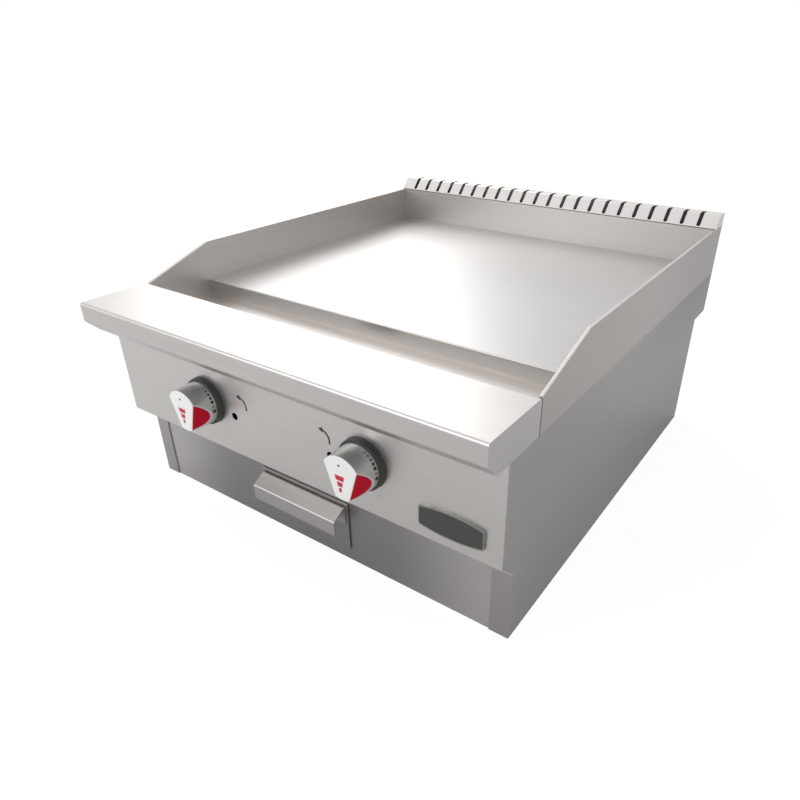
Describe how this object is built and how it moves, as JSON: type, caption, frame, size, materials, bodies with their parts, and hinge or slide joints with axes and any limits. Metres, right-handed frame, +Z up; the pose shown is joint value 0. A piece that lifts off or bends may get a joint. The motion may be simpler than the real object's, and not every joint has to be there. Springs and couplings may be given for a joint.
{
  "type": "countertop gas griddle",
  "caption": "Countertop gas griddle: thick steel plate between splash guards, front grease trough and drawer, slotted rear flue, rotary burner knobs.",
  "frame": {"origin": "centre of the bounding box in X and Y, on the surface the griddle stands on", "axes": "+X to the right as the cook sees it, +Y from the front ledge to the flue, +Z up"},
  "size_m": [0.61, 0.7438, 0.348],
  "materials": {
    "stainless_front": "number 4 brushed stainless steel",
    "stainless_body": "number 4 brushed stainless steel",
    "stainless_guard": "brushed steel splash guards",
    "griddle_steel": "ground and polished steel plate",
    "trough_steel": "brushed steel trough",
    "drawer_steel": "brushed stainless steel",
    "galvanised_steel": "galvanised sheet steel",
    "black_steel": "mill-scale structural steel",
    "burner_steel": "aluminised steel",
    "black_pipe": "black iron gas pipe",
    "brass": "machined brass",
    "aluminium_tube": "soft aluminium tube",
    "pilot_steel": "zinc-plated steel",
    "knob_silver": "satin chrome over die-cast zinc",
    "knob_red": "dark red soft-touch plastic",
    "bezel_black": "dark heat-resistant plastic",
    "plate_rim": "grey metal rim, blank",
    "plate_infill": "blank dark enamel"
  },
  "bodies": {
    "chassis": {"back_panel": "galvanised_steel", "base_pan": "galvanised_steel", "bracket_screws": "pilot_steel", "burner_left": "burner_steel", "burner_right": "burner_steel", "burner_support_front": "black_steel", "burner_support_rear": "black_steel", "center_baffle": "galvanised_steel", "control_panel": "stainless_front", "drawer_runner_left": "galvanised_steel", "drawer_runner_right": "galvanised_steel", "firebox_liner_left": "galvanised_steel", "firebox_liner_right": "galvanised_steel", "flue_back": "stainless_body", "flue_cover": "stainless_body", "front_baffle": "galvanised_steel", "front_ledge": "stainless_front", "gas_inlet_nipple": "black_pipe", "gas_manifold": "black_pipe", "gas_supply_pipe": "black_pipe", "grease_chute": "trough_steel", "grease_trough": "trough_steel", "griddle_plate": "griddle_steel", "heat_shield": "galvanised_steel", "knob_bezel_left": "bezel_black", "knob_bezel_right": "bezel_black", "leg_sockets": "pilot_steel", "lower_front_panel": "stainless_front", "manifold_brackets": "galvanised_steel", "nameplate": "plate_rim", "nameplate_face": "plate_infill", "orifice_hoods": "brass", "pilot_burners": "pilot_steel", "pilot_tube_left": "aluminium_tube", "pilot_tube_right": "aluminium_tube", "pilot_valves": "brass", "pipe_coupling": "black_pipe", "pipe_elbow": "black_pipe", "plate_support_left": "black_steel", "plate_support_right": "black_steel", "rear_splash": "stainless_guard", "shell_screws": "pilot_steel", "side_panel_left": "stainless_body", "side_panel_right": "stainless_body", "splash_guard_left": "stainless_guard", "splash_guard_right": "stainless_guard", "valve_body_left": "brass", "valve_body_right": "brass"},
    "knob_left": {"knob_left": "knob_silver", "knob_grips_left": "knob_red", "valve_stem_left": "brass"},
    "knob_right": {"knob_right": "knob_silver", "knob_grips_right": "knob_red", "valve_stem_right": "brass"},
    "grease_drawer": {"drawer_front": "drawer_steel", "drawer_handle": "drawer_steel", "grease_tray": "drawer_steel"},
    "air_shutter_left": {"air_shutter_left": "burner_steel"},
    "air_shutter_right": {"air_shutter_right": "burner_steel"}
  },
  "joints": [
    {"name": "knob_left_turn", "type": "hinge", "parent": "chassis", "child": "knob_left", "pos_m": [-0.1295, -0.3319, 0.187], "axis": [0, -1, 0], "range_deg": [0, 90]},
    {"name": "knob_right_turn", "type": "hinge", "parent": "chassis", "child": "knob_right", "pos_m": [0.1295, -0.3319, 0.187], "axis": [0, -1, 0], "range_deg": [0, 90]},
    {"name": "drawer_slide", "type": "slide", "parent": "chassis", "child": "grease_drawer", "axis": [0, -1, 0], "range_m": [0, 0.3]},
    {"name": "air_shutter_left_turn", "type": "hinge", "parent": "chassis", "child": "air_shutter_left", "pos_m": [-0.1295, -0.2279, 0.187], "axis": [0, 1, 0], "range_deg": [0, 60]},
    {"name": "air_shutter_right_turn", "type": "hinge", "parent": "chassis", "child": "air_shutter_right", "pos_m": [0.1295, -0.2279, 0.187], "axis": [0, 1, 0], "range_deg": [0, 60]}
  ]
}
